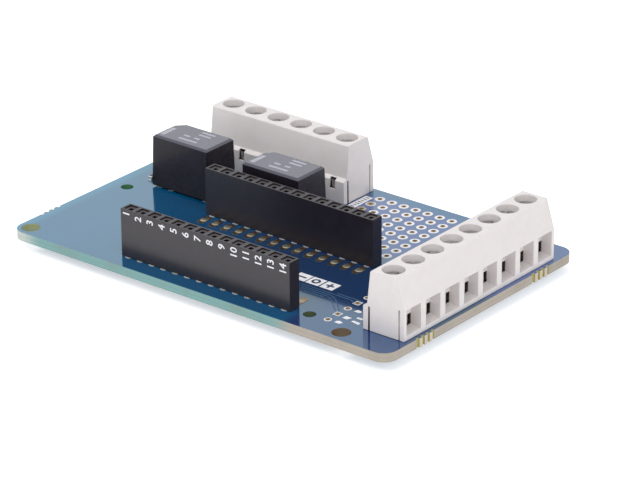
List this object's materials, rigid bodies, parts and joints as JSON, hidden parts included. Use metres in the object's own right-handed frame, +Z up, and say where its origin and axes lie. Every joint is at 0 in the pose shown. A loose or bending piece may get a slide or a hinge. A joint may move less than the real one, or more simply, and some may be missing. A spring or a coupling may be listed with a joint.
{
  "type": "relay module board",
  "caption": "Circuit board with relays, plug-in socket strips, screw terminal blocks along two edges, a prototyping hole field and corner fixing holes.",
  "frame": {"origin": "middle of the board's outline, level with the tips of the leads that the board stands on", "axes": "+X along the board towards the eight-way terminal block, +Y across it towards the six-way terminal block, +Z up out of the component side"},
  "size_m": [0.0798, 0.0506, 0.0139],
  "materials": {
    "board_mask": "glossy blue solder mask over glass-fibre laminate",
    "gold_land": "gold-plated copper land",
    "solder": "bright solder",
    "socket_grey": "charcoal moulded plastic",
    "socket_black": "near-black moulded plastic",
    "contact_metal": "gold-flashed spring contact",
    "relay_black": "satin black moulded cover",
    "relay_base": "black moulded base",
    "lead_metal": "tinned lead",
    "terminal_plastic": "pale warm grey moulded plastic",
    "clamp_metal": "plated steel clamp",
    "screw_metal": "plated steel screw",
    "chip_black": "moulded black body",
    "lamp_body": "pale status lamp"
  },
  "bodies": {
    "root": {"circuit_board": "board_mask", "proto_lands": "gold_land", "socket_lands": "gold_land", "breakout_lands": "gold_land", "side_lands": "gold_land", "relay_lands": "gold_land", "terminal_lands": "gold_land", "chip_lands": "gold_land", "front_socket_body": "socket_grey", "front_socket_contacts": "contact_metal", "rear_socket_body": "socket_black", "rear_socket_contacts": "contact_metal", "socket_solder": "solder", "breakout_solder": "solder", "left_relay_cover": "relay_black", "left_relay_base": "relay_base", "left_relay_leads": "lead_metal", "right_relay_cover": "relay_black", "right_relay_base": "relay_base", "right_relay_leads": "lead_metal", "relay_solder": "solder", "side_terminal_body": "terminal_plastic", "side_terminal_clamps": "clamp_metal", "side_terminal_screws": "screw_metal", "side_terminal_pins": "lead_metal", "rear_terminal_body": "terminal_plastic", "rear_terminal_clamps": "clamp_metal", "rear_terminal_screws": "screw_metal", "rear_terminal_pins": "lead_metal", "terminal_solder": "solder", "transistor_bodies": "chip_black", "transistor_leads": "lead_metal", "diode_bodies": "chip_black", "diode_leads": "lead_metal", "resistor_chips": "chip_black", "lamp_chips": "lamp_body", "chip_end_caps": "lead_metal"}
  },
  "joints": []
}
